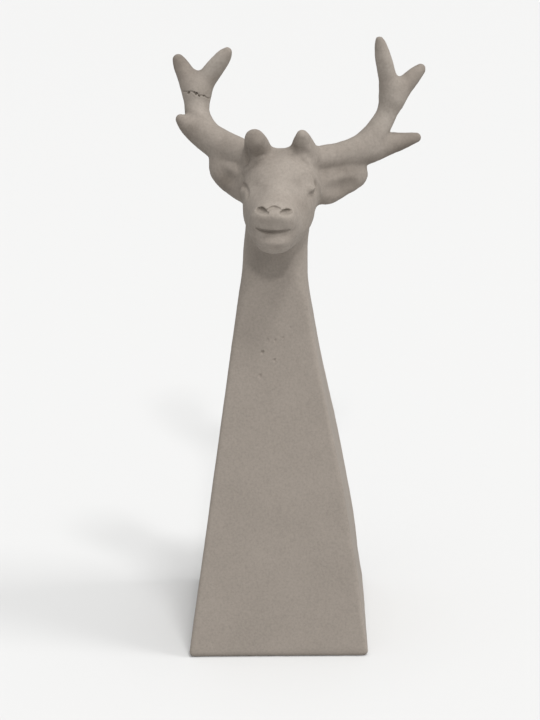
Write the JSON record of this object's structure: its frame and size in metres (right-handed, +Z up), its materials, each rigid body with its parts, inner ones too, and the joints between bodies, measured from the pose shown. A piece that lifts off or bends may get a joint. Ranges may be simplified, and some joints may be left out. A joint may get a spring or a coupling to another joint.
{
  "type": "reindeer figurine",
  "caption": "Cast cement-look reindeer figurine: a tapered square column turning into a neck, with a reindeer head, cupped ears and branching antlers. Stands on its flat base.",
  "frame": {"origin": "centre of the square flat underside, on the surface the figurine stands on", "axes": "+Z up along the column to the antlers; the muzzle faces -Y; +X is to the viewer's right when looking at the face"},
  "size_m": [0.1234, 0.089, 0.2979],
  "materials": {
    "cast_cement": "unglazed warm grey fine cement with a sandy grain, matt"
  },
  "bodies": {
    "root": {"reindeer_figurine": "cast_cement"}
  },
  "joints": []
}
